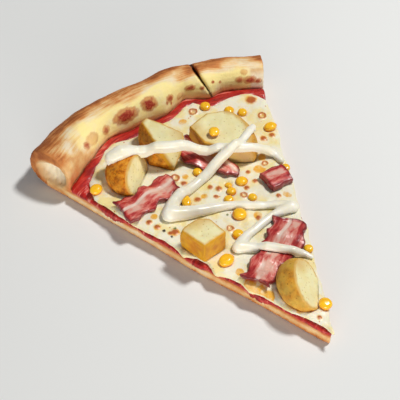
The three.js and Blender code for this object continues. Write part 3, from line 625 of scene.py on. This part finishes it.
# ---- Cheese ----
class CheeseLook(bpy.types.PropertyGroup):
    grain: face_size("the cheese's", 0.52)
    pale: colour_setting("Melted cheese", "Palest melted cheese", "#F1EDD8")
    buttery: colour_setting("Buttery cheese", "Yellower stretches of the cheese", "#F2E1A0")
    gold: colour_setting("Golden patch", "Golden patch that the oven left", "#EDB240")
    rust: colour_setting("Toasted spot", "Well toasted spot", "#A9471F")


def cheese_material(look):
    """Melted mozzarella: pale and oily, with golden patches and toasted spots."""
    material, add, shader, place, masks = start_material(
        "Melted mozzarella", "gold", "rust", "char", "herb", "butter")
    mottle = add("TexNoise", {
        "Vector": place, "Scale": per_metre(9), "Detail": 5.0, "Roughness": 0.6})
    patches = add("TexNoise", {
        "Vector": place, "Scale": per_metre(3.4), "Detail": 5.0, "Roughness": 0.65})
    fine = add("TexNoise", {"Vector": place, "Scale": per_metre(1.3), "Detail": 3.0})
    yellow = add("MapRange", {"Value": mottle, 1: 0.44, 2: 0.6, 3: 0.0, 4: 0.95})
    yellow = add("Math", {0: yellow, 1: masks["butter"]}, operation="MAXIMUM")
    ragged = add("Math", {0: masks["gold"], 1: patches}, operation="MULTIPLY")
    ragged = add("MapRange", {"Value": ragged, 1: 0.2, 2: 0.56, 3: 0.0, 4: 1.0})
    # Small orange flecks of browned cheese, each about a millimetre wide
    cells = add("TexVoronoi", {"Vector": place, "Scale": per_metre(4.2)})
    fleck = add("MapRange", {"Value": cells, 1: 0.13, 2: 0.07, 3: 0.0, 4: 0.8})
    chance = add("SeparateColor", {"Color": cells.outputs["Color"]})
    chosen = add("Math", {0: chance, 1: 0.5}, operation="GREATER_THAN")
    fleck = add("Math", {0: fleck, 1: chosen}, operation="MULTIPLY")
    rusty = add("Mix", {FACTOR: mottle, UNDER: look.rust, OVER: "#CC7A35"}, data_type="RGBA")
    layers = [
        (yellow, look.buttery), (ragged, look.gold), (fleck, "#C9772E"),
        (masks["rust"], rusty), (masks["char"], "#2B140D"), (masks["herb"], "#6E7A3A"),
    ]
    colour = look.pale
    for mask, layer in layers:
        colour = add("Mix", {FACTOR: mask, UNDER: colour, OVER: layer}, data_type="RGBA")
    bump = add("Bump", {"Height": fine, "Distance": 0.3 * MM, "Strength": 0.4})
    feed(shader, {
        "Base Color": colour, "Roughness": 0.34, "Normal": bump, "Specular IOR Level": 0.45,
        "Subsurface Weight": 0.25, "Subsurface Radius": (1.0, 0.75, 0.4),
        "Subsurface Scale": 1.5 * MM})
    return material


class OBJECT_OT_pizza_cheese(bpy.types.Operator):
    """Makes the layer of melted cheese with its lobes and toasted spots"""
    bl_idname = "object.pizza_cheese"
    bl_label = "Cheese"

    def execute(self, context):
        look = context.scene.pizza_cheese
        piece = copy_solid("cheese", "melted_cheese")
        remesh(piece, look.grain)
        smooth(piece, 14)
        points = read_points(piece)
        normals = read_normals(piece)
        top = ramp(normals[:, 2], 0.2, 0.8)
        moved = 0.45 * lumps(points, 9, 21) + 0.26 * lumps(points, 3.6, 22)
        moved += 0.05 * lumps(points, 1.2, 23)
        masks = {name: np.zeros(len(points)) for name in CHEESE_SPOTS if name != "ring"}
        spots = [(kind, *spot) for kind, group in CHEESE_SPOTS.items() for spot in group]
        for kind, x, y, width in spots:
            centre = seen_at(piece, x, y)
            if centre is None:
                raise RuntimeError(f"no cheese at pixel {x}, {y}")
            away = spot_distance(points, centre, width, width) + 0.2 * lumps(points, 1.6, x)
            if kind == "ring":
                masks["rust"] = np.maximum(masks["rust"], ramp(np.abs(away - 0.8), 0.36, 0.1))
                masks["gold"] = np.maximum(masks["gold"], 0.8 * ramp(away, 1.5, 0.9))
                moved += 0.3 * ramp(np.abs(away - 0.85), 0.5, 0.1) - 0.25 * ramp(away, 0.7, 0.3)
                continue
            masks[kind] = np.maximum(masks[kind], ramp(away, 1.1, 0.7))
            if kind == "rust":
                masks["gold"] = np.maximum(masks["gold"], 0.9 * ramp(away, 1.8, 1.0))
                moved += 0.35 * ramp(away, 1.3, 0.4)
        write_points(piece, points + normals * moved[:, None])
        lobes = 0.7 * ramp(beyond_cuts(points), -0.5, 1.6)
        butter = np.maximum(masks.pop("butter"), lobes)
        store(piece, **{name: mask * top for name, mask in masks.items()}, butter=butter)
        finish_piece(piece, cheese_material(look), "cheese", "cheese")
        return {"FINISHED"}


# ---- Mayonnaise ----
class MayonnaiseLook(bpy.types.PropertyGroup):
    grain: face_size("the drizzle's", 0.42)
    cream: colour_setting("Mayonnaise", "Colour of the mayonnaise", "#F2EFE2")


def mayonnaise_material(look):
    """Mayonnaise: a smooth oily emulsion, nearly white with a soft sheen."""
    material, add, shader, place, _ = start_material("Whipped mayonnaise")
    swirl = add("TexNoise", {"Vector": place, "Scale": per_metre(6), "Detail": 3.0})
    tint = add("MapRange", {"Value": swirl, 1: 0.45, 2: 0.7, 3: 0.0, 4: 0.6})
    colour = add("Mix", {FACTOR: tint, UNDER: look.cream, OVER: "#EDE6C8"}, data_type="RGBA")
    bump = add("Bump", {"Height": swirl, "Distance": 0.3 * MM, "Strength": 0.3})
    feed(shader, {
        "Base Color": colour, "Roughness": 0.28, "Normal": bump, "Specular IOR Level": 0.5,
        "Subsurface Weight": 0.3, "Subsurface Radius": (1.0, 0.85, 0.6),
        "Subsurface Scale": 1.5 * MM})
    return material


class OBJECT_OT_pizza_mayonnaise(bpy.types.Operator):
    """Makes the drizzle of mayonnaise that lies over the toppings"""
    bl_idname = "object.pizza_mayonnaise"
    bl_label = "Mayonnaise"

    def execute(self, context):
        look = context.scene.pizza_mayonnaise
        piece = copy_solid("mayonnaise", "mayonnaise_drizzle")
        remesh(piece, look.grain)
        smooth(piece, 22)
        points = read_points(piece)
        moved = 0.25 + 0.16 * lumps(points, 5, 31)
        write_points(piece, points + read_normals(piece) * moved[:, None])
        finish_piece(piece, mayonnaise_material(look), "mayonnaise", "mayonnaise")
        return {"FINISHED"}


# ---- Potato ----
class PotatoLook(bpy.types.PropertyGroup):
    grain: face_size("a chunk's", 0.5)
    flesh: colour_setting("Flesh", "Cut face of the potato", "#EFE7B6")
    golden: colour_setting("Roasted face", "Cut face that the oven has browned", "#C47806")
    skin: colour_setting("Skin", "Roasted potato skin", "#CE7A12")


def potato_material(look):
    """Roasted potato: waxy pale flesh with fine specks, golden edges and a thin brown skin."""
    material, add, shader, place, masks = start_material(
        "Roasted potato", "skin", "dark", "golden", "edge")
    mottle = add("TexNoise", {"Vector": place, "Scale": per_metre(5), "Detail": 4.0})
    # Specks of 0.6 mm, a little coarser than real ones so that they show
    specks = add("TexVoronoi", {"Vector": place, "Scale": per_metre(2.1)})
    speck = add("MapRange", {"Value": specks, 1: 0.22, 2: 0.1, 3: 0.0, 4: 0.6})
    warm = add("MapRange", {"Value": mottle, 1: 0.4, 2: 0.7, 3: 0.0, 4: 0.35})
    patchy = add("MapRange", {"Value": mottle, 1: 0.36, 2: 0.64, 3: 0.0, 4: 1.0})
    roasted = add("Mix", {FACTOR: patchy, UNDER: look.golden, OVER: "#DEA212"}, data_type="RGBA")
    blotches = add("TexNoise", {
        "Vector": place, "Scale": per_metre(3.2), "Detail": 5.0, "Roughness": 0.65})
    browned = add("ValToRGB", {"Fac": blotches})
    set_stops(browned, (0.34, "#8F480C"), (0.5, look.skin), (0.66, "#E3A233"))
    peel = add("Mix", {FACTOR: masks["dark"], UNDER: "#D4B04C", OVER: browned}, data_type="RGBA")
    peel = add("Mix", {FACTOR: speck, UNDER: peel, OVER: "#6A3A10"}, data_type="RGBA")
    layers = [
        (warm, "#E6CF74"), (masks["golden"], roasted), (masks["edge"], "#CE951E"),
        (speck, "#BFA24E"), (masks["skin"], peel),
    ]
    colour = look.flesh
    for mask, layer in layers:
        colour = add("Mix", {FACTOR: mask, UNDER: colour, OVER: layer}, data_type="RGBA")
    bump = add("Bump", {"Height": mottle, "Distance": 0.5 * MM, "Strength": 0.5})
    feed(shader, {
        "Base Color": colour, "Roughness": 0.55, "Normal": bump, "Specular IOR Level": 0.22,
        "Subsurface Weight": 0.18, "Subsurface Radius": (1.0, 0.7, 0.3),
        "Subsurface Scale": 1.5 * MM})
    return material


class OBJECT_OT_pizza_potatoes(bpy.types.Operator):
    """Makes the potato chunks: oval tubers with flat cuts"""
    bl_idname = "object.pizza_potatoes"
    bl_label = "Potato chunks"

    def execute(self, context):
        look = context.scene.pizza_potato
        material = potato_material(look)
        for number, (middle, radii, turn, dark, glow, cuts) in enumerate(POTATOES, 1):
            middle, radii = np.array(middle, float), np.array(radii, float)
            bpy.ops.mesh.primitive_uv_sphere_add(segments=64, ring_count=40, radius=1)
            piece = bpy.context.active_object
            piece.name = f"potato_chunk_{number}"
            turned = turning(turn)
            unit = np.array([v.co for v in piece.data.vertices])
            write_points(piece, (unit * radii) @ turned.T + middle)
            bottom = (0, -90, middle[2] - POTATO_BOTTOM, 0)
            bpy.ops.object.mode_set(mode="EDIT")
            for way, tilt, offset, _ in [*cuts, bottom]:
                normal = heading(way, tilt)
                bpy.ops.mesh.select_all(action="SELECT")
                bpy.ops.mesh.bisect(
                    plane_co=(middle + normal * offset + TIP) * MM, plane_no=normal,
                    use_fill=True, clear_outer=True)
            bpy.ops.object.mode_set(mode="OBJECT")
            remesh(piece, look.grain)
            smooth(piece, 5)

            points = read_points(piece)
            local = (points - middle) @ turned
            depth = 1 - np.sqrt(np.sum((local / radii) ** 2, axis=1))
            depth *= radii.min()
            under_cut = np.array([offset - (points - middle) @ heading(way, tilt)
                                  for way, tilt, offset, _ in cuts])
            tones = np.array([tone for _, _, _, tone in cuts])
            golden = np.max(tones[:, None] * ramp(under_cut, 0.7, 0.25), axis=0)
            outer = np.min([depth, *under_cut[tones == SKIN]], axis=0)
            skin = ramp(outer, 0.55, 0.25) * ramp(under_cut[tones < SKIN].min(axis=0), 0.2, 0.6)
            # The corners between two faces have browned most
            corner = np.sort([depth, *under_cut], axis=0)[1]
            edge = 0.8 * ramp(corner + 0.5 * lumps(points, 2.5, 45 + number), 1.7, 0.2)
            towards = (points - middle) @ heading(glow) / radii[:2].mean()
            towards += 0.2 * lumps(points, 6, number)
            edge = np.maximum(edge, 0.65 * ramp(towards, 0.1, 0.75))
            rough = 0.3 * lumps(points, 5, 40 + number) + 0.14 * lumps(points, 1.6, 50 + number)
            write_points(piece, points + read_normals(piece) * rough[:, None])
            # The skin darkens towards the bottom of each chunk: painted shade
            low = ramp(points[:, 2], POTATO_BOTTOM + 5, POTATO_BOTTOM)
            patchy = 0.45 * lumps(points, 3.5, 55 + number)
            store(piece, skin=skin, dark=np.clip(dark + 0.3 * low + patchy, 0, 1),
                  golden=golden, edge=edge)
            finish_piece(piece, material, "potato", f"potato_{number}")
        return {"FINISHED"}


# ---- Bacon ----
class BaconLook(bpy.types.PropertyGroup):
    grain: face_size("a strip's", 0.36)
    meat: colour_setting("Meat", "Fried lean meat", "#B8302F")
    fat: colour_setting("Fat", "Streaks of fat", "#EACFC2")
    crisp: colour_setting("Crisp edge", "Dark fried edge", "#6E141A")


def bacon_material(look):
    """Fried streaky bacon: crimson meat, pale streaks of fat and a dark crisp edge, all greasy."""
    material, add, shader, place, masks = start_material(
        "Fried streaky bacon", "fat", "pale", "crisp")
    run = add("Attribute", attribute_name="run").outputs["Vector"]
    fibres = add("TexNoise", {
        "Vector": run, "Scale": 1.0, "Detail": 5.0, "Roughness": 0.6, "Distortion": 0.4})
    grain = add("TexNoise", {"Vector": place, "Scale": per_metre(1.1), "Detail": 3.0})
    lift = add("MapRange", {"Value": masks["pale"], 1: 0.0, 2: 1.0, 3: -0.06, 4: 0.24})
    shade = add("Math", {0: fibres, 1: lift}, operation="ADD")
    colour = add("ValToRGB", {"Fac": shade})
    set_stops(
        colour, (0.26, "#861820"), (0.42, look.meat), (0.54, "#D8796C"), (0.68, "#E0AF9F"))
    for mask, layer in ((masks["fat"], look.fat), (masks["crisp"], look.crisp)):
        colour = add("Mix", {FACTOR: mask, UNDER: colour, OVER: layer}, data_type="RGBA")
    bump = add("Bump", {"Height": grain, "Distance": 0.25 * MM, "Strength": 0.5})
    bump = add("Bump", {"Height": fibres, "Distance": 0.4 * MM, "Strength": 0.5, "Normal": bump})
    feed(shader, {
        "Base Color": colour, "Roughness": 0.32, "Normal": bump, "Coat Weight": 0.3,
        "Coat Roughness": 0.18, "Subsurface Weight": 0.1, "Subsurface Radius": (1.0, 0.3, 0.2),
        "Subsurface Scale": 1.0 * MM})
    return material


def edge_distance(points, normals):
    """How far each point lies from the nearest steep side of its piece, in millimetres."""
    steep = points[np.abs(normals[:, 2]) < 0.5]
    tree = kdtree.KDTree(len(steep))
    for number, point in enumerate(steep.tolist()):
        tree.insert(point, number)
    tree.balance()
    return np.array([tree.find(point)[2] for point in points.tolist()])


class OBJECT_OT_pizza_bacon(bpy.types.Operator):
    """Makes the rippled strips of bacon"""
    bl_idname = "object.pizza_bacon"
    bl_label = "Bacon"

    def execute(self, context):
        look = context.scene.pizza_bacon
        material = bacon_material(look)
        for number, (start, end, width, line, streak, broad) in enumerate(BACON, 1):
            piece = copy_solid(f"bacon_{number}", f"bacon_strip_{number}")
            remesh(piece, look.grain)
            smooth(piece, 10)
            points = read_points(piece)
            normals = read_normals(piece)
            start, end = np.array(start, float), np.array(end, float)
            length = np.linalg.norm(end - start)
            way = (end - start) / length
            along = (points[:, :2] - start) @ way
            across = (points[:, :2] - start) @ np.array([-way[1], way[0]]) / (width / 2)
            bend = 0.1 * np.sin(along / 5.5 + number) + 0.16 * lumps(points, 8, 60 + number)
            bent = across + bend
            fat = ramp(np.abs(bent - line), 0.17, 0.07) * ramp(lumps(points, 6, 66), -0.6, -0.2)
            patchy = ramp(lumps(points, 6.5, 67 + number), -0.35, 0.35)
            pale = ramp(np.abs(bent - streak), broad, 0.2 * broad) * (0.45 + 0.55 * patchy)
            level = np.abs(normals[:, 2])
            border = edge_distance(points, normals) + 0.5 * lumps(points, 3, 68 + number)
            crisp = np.maximum(0.6 * ramp(level, 0.5, 0.2), 0.85 * ramp(border, 1.3, 0.2))
            pale *= ramp(border, 0.6, 2.4)
            ragged = (1 - level) * 0.6 * lumps(points, 2.8, 70 + number)
            moved = ragged + 0.25 * lumps(points, 3.4, 80 + number) - 0.15 * fat
            write_points(piece, points + normals * moved[:, None])
            run = np.column_stack([along / 9, across * width / 5, points[:, 2] / 5])
            store(piece, fat=fat, pale=pale, crisp=crisp, run=run)
            finish_piece(piece, material, "bacon", f"bacon_{number}")
        return {"FINISHED"}


# ---- Sweetcorn ----
class SweetcornLook(bpy.types.PropertyGroup):
    yellow: colour_setting("Kernel", "Plump side of a kernel", "#FFC524")
    amber: colour_setting(
        "Kernel's edge", "Deeper colour low on a kernel and at its point", "#EA8C08")


def sweetcorn_material(look):
    """Cooked sweetcorn: taut, glossy and a little clear, deeper in colour towards its edge: at its
    point, as real kernels are, and low on the kernel as painted shade.
    """
    material, add, shader, place, masks = start_material("Cooked sweetcorn", "low")
    mottle = add("TexNoise", {"Vector": place, "Scale": per_metre(2.2), "Detail": 3.0})
    uneven = add("MapRange", {"Value": mottle, 1: 0.35, 2: 0.65, 3: -0.15, 4: 0.2})
    deep = add("Math", {0: masks["low"], 1: uneven}, operation="ADD", use_clamp=True)
    colour = add("Mix", {FACTOR: deep, UNDER: look.yellow, OVER: look.amber}, data_type="RGBA")
    bump = add("Bump", {"Height": mottle, "Distance": 0.2 * MM, "Strength": 0.3})
    feed(shader, {
        "Base Color": colour, "Roughness": 0.2, "Normal": bump, "Coat Weight": 0.3,
        "Coat Roughness": 0.1, "Subsurface Weight": 0.2, "Subsurface Radius": (1.0, 0.6, 0.1),
        "Subsurface Scale": 1.2 * MM})
    return material


class OBJECT_OT_pizza_sweetcorn(bpy.types.Operator):
    """Makes one plump kernel and lays its copies where the sweetcorn is"""
    bl_idname = "object.pizza_sweetcorn"
    bl_label = "Sweetcorn"

    def execute(self, context):
        look = context.scene.pizza_sweetcorn
        material = sweetcorn_material(look)
        bpy.ops.mesh.primitive_uv_sphere_add(segments=28, ring_count=18, radius=1)
        kernel = bpy.context.active_object
        kernel.name = "sweetcorn_01"
        unit = np.array([v.co for v in kernel.data.vertices])
        # The round end is full and dimpled on top, and the other is drawn to a blunt point
        narrow = 1 - 0.3 * np.maximum(unit[:, 1], 0) ** 2
        full = np.sign(unit) * np.abs(unit) ** 0.88
        shape = full * np.column_stack([narrow, np.ones(len(unit)), narrow])
        dimple = np.exp(-((unit[:, 0] / 0.45) ** 2) - ((unit[:, 1] + 0.25) / 0.5) ** 2)
        shape[:, 2] -= 0.12 * dimple * (unit[:, 2] > 0)
        copies = [kernel]
        for _ in CORN[1:]:
            choose(kernel)
            bpy.ops.object.duplicate()
            copies.append(bpy.context.active_object)
        for number, (piece, spec) in enumerate(zip(copies, CORN), 1):
            x, y, length, width, point = spec
            node = f"corn_{number:02d}"
            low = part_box(node)[0].z / MM
            bottom = low if low > CORN_ON_CHUNK else CORN_BOTTOM
            height = CORN_HEIGHT * (length + width) / 2
            body = shape * np.array([width, length, height]) / 2
            body *= 1 + 0.04 * lumps(body, 3, number)[:, None]
            points = body @ turning(point).T + [x, y, bottom + height / 2]
            piece.name = f"sweetcorn_{number:02d}"
            write_points(piece, points)
            # Deeper amber at the kernel's point is its own colour; deeper amber low on the kernel
            # is painted shade
            edge = np.maximum(ramp(unit[:, 2], 0.35, -0.35), ramp(unit[:, 1], 0.55, 0.95))
            store(piece, low=edge)
            finish_piece(piece, material, "sweetcorn", node)
        return {"FINISHED"}


# ---- Stage ----
class StageLook(bpy.types.PropertyGroup):
    key: bpy.props.FloatProperty(
        name="Key light", description="Power of the main light, which comes from the right",
        default=9.2, unit="POWER")
    fill: bpy.props.FloatProperty(
        name="Fill light", description="Power of the low soft light from the front left",
        default=5.8, unit="POWER")
    surround: bpy.props.FloatProperty(
        name="Surround", description="Brightness of the pale room", default=0.17)
    floor: colour_setting("Floor", "Colour of the floor", "#E6E8E9")


def floor_material(look):
    """Matt painted board: even and pale."""
    material, add, shader, place, _ = start_material("Matt painted board")
    tooth = add("TexNoise", {"Vector": place, "Scale": per_metre(3), "Detail": 4.0})
    bump = add("Bump", {"Height": tooth, "Distance": 0.1 * MM, "Strength": 0.15})
    feed(shader, {
        "Base Color": look.floor, "Roughness": 0.9, "Specular IOR Level": 0.1, "Normal": bump})
    return material


def add_light(name, place, aim, size, power, colour):
    """A soft light at a place, turned to another; both in millimetres from the tip."""
    bpy.ops.object.light_add(type="AREA")
    light = bpy.context.active_object
    light.name = name
    light.location = (Vector(place) + Vector(TIP)) * MM
    way = Vector(aim) - Vector(place)
    light.rotation_euler = way.to_track_quat("-Z", "Y").to_euler()
    light.data.shape = "RECTANGLE"
    light.data.size, light.data.size_y = size[0] * MM, size[1] * MM
    light.data.energy = power
    light.data.color = linear(colour)


class OBJECT_OT_pizza_stage(bpy.types.Operator):
    """Makes the pale floor, the soft lights and the camera"""
    bl_idname = "object.pizza_stage"
    bl_label = "Stage"

    def execute(self, context):
        look = context.scene.pizza_stage
        bpy.ops.mesh.primitive_plane_add(size=6)
        floor = bpy.context.active_object
        floor.name = "floor"
        floor.data.materials.append(floor_material(look))

        middle = (0, 95, 0)
        add_light("key_light", (470, 60, 975), middle, (130, 130), look.key, "#FFFDF8")
        add_light("fill_light", (-520, -640, 150), middle, (700, 180), look.fill, "#FFFBF2")

        world = bpy.data.worlds.new("Pale room")
        context.scene.world = world
        world.use_nodes = True
        world.node_tree.nodes.clear()
        room = add_node(world.node_tree, "Background", {
            "Color": "#F3F4F8", "Strength": look.surround})
        add_node(world.node_tree, "OutputWorld", {"Surface": room})

        place, ahead, _, _ = camera_axes()
        bpy.ops.object.camera_add()
        camera = bpy.context.active_object
        camera.name = "camera"
        camera.location = (place + Vector(TIP)) * MM
        camera.rotation_euler = ahead.to_track_quat("-Z", "Y").to_euler()
        camera.data.lens = LENS
        camera.data.sensor_width = SENSOR
        camera.data.clip_start = 0.01
        context.scene.camera = camera
        context.scene.view_settings.view_transform = "Standard"
        return {"FINISHED"}


# ---- Panel and registration ----
LOOKS = {
    "pizza_crust": CrustLook, "pizza_sauce": SauceLook, "pizza_cheese": CheeseLook,
    "pizza_mayonnaise": MayonnaiseLook, "pizza_potato": PotatoLook, "pizza_bacon": BaconLook,
    "pizza_sweetcorn": SweetcornLook, "pizza_stage": StageLook,
}
OPERATORS = [
    OBJECT_OT_pizza_crust, OBJECT_OT_pizza_sauce, OBJECT_OT_pizza_cheese,
    OBJECT_OT_pizza_mayonnaise, OBJECT_OT_pizza_potatoes, OBJECT_OT_pizza_bacon,
    OBJECT_OT_pizza_sweetcorn, OBJECT_OT_pizza_stage,
]


class VIEW3D_PT_pizza(bpy.types.Panel):
    bl_label = "Pizza slice"
    bl_idname = "VIEW3D_PT_pizza"
    bl_space_type = "VIEW_3D"
    bl_region_type = "UI"
    bl_category = "Pizza"

    def draw(self, context):
        for operator, name in zip(OPERATORS, LOOKS):
            box = self.layout.box()
            box.operator(operator.bl_idname)
            look = getattr(context.scene, name)
            for value in look.bl_rna.properties:
                if value.identifier not in ("name", "rna_type"):
                    box.prop(look, value.identifier)


def register():
    for look in LOOKS.values():
        bpy.utils.register_class(look)
    for operator in OPERATORS:
        bpy.utils.register_class(operator)
    bpy.utils.register_class(VIEW3D_PT_pizza)
    for name, look in LOOKS.items():
        setattr(bpy.types.Scene, name, bpy.props.PointerProperty(type=look))


def unregister():
    for name in LOOKS:
        delattr(bpy.types.Scene, name)
    bpy.utils.unregister_class(VIEW3D_PT_pizza)
    for kind in [*reversed(OPERATORS), *reversed(LOOKS.values())]:
        bpy.utils.unregister_class(kind)


def main():
    register()
    for operator in OPERATORS:
        group, name = operator.bl_idname.split(".")
        getattr(getattr(bpy.ops, group), name)()


if __name__ == "__main__":
    main()
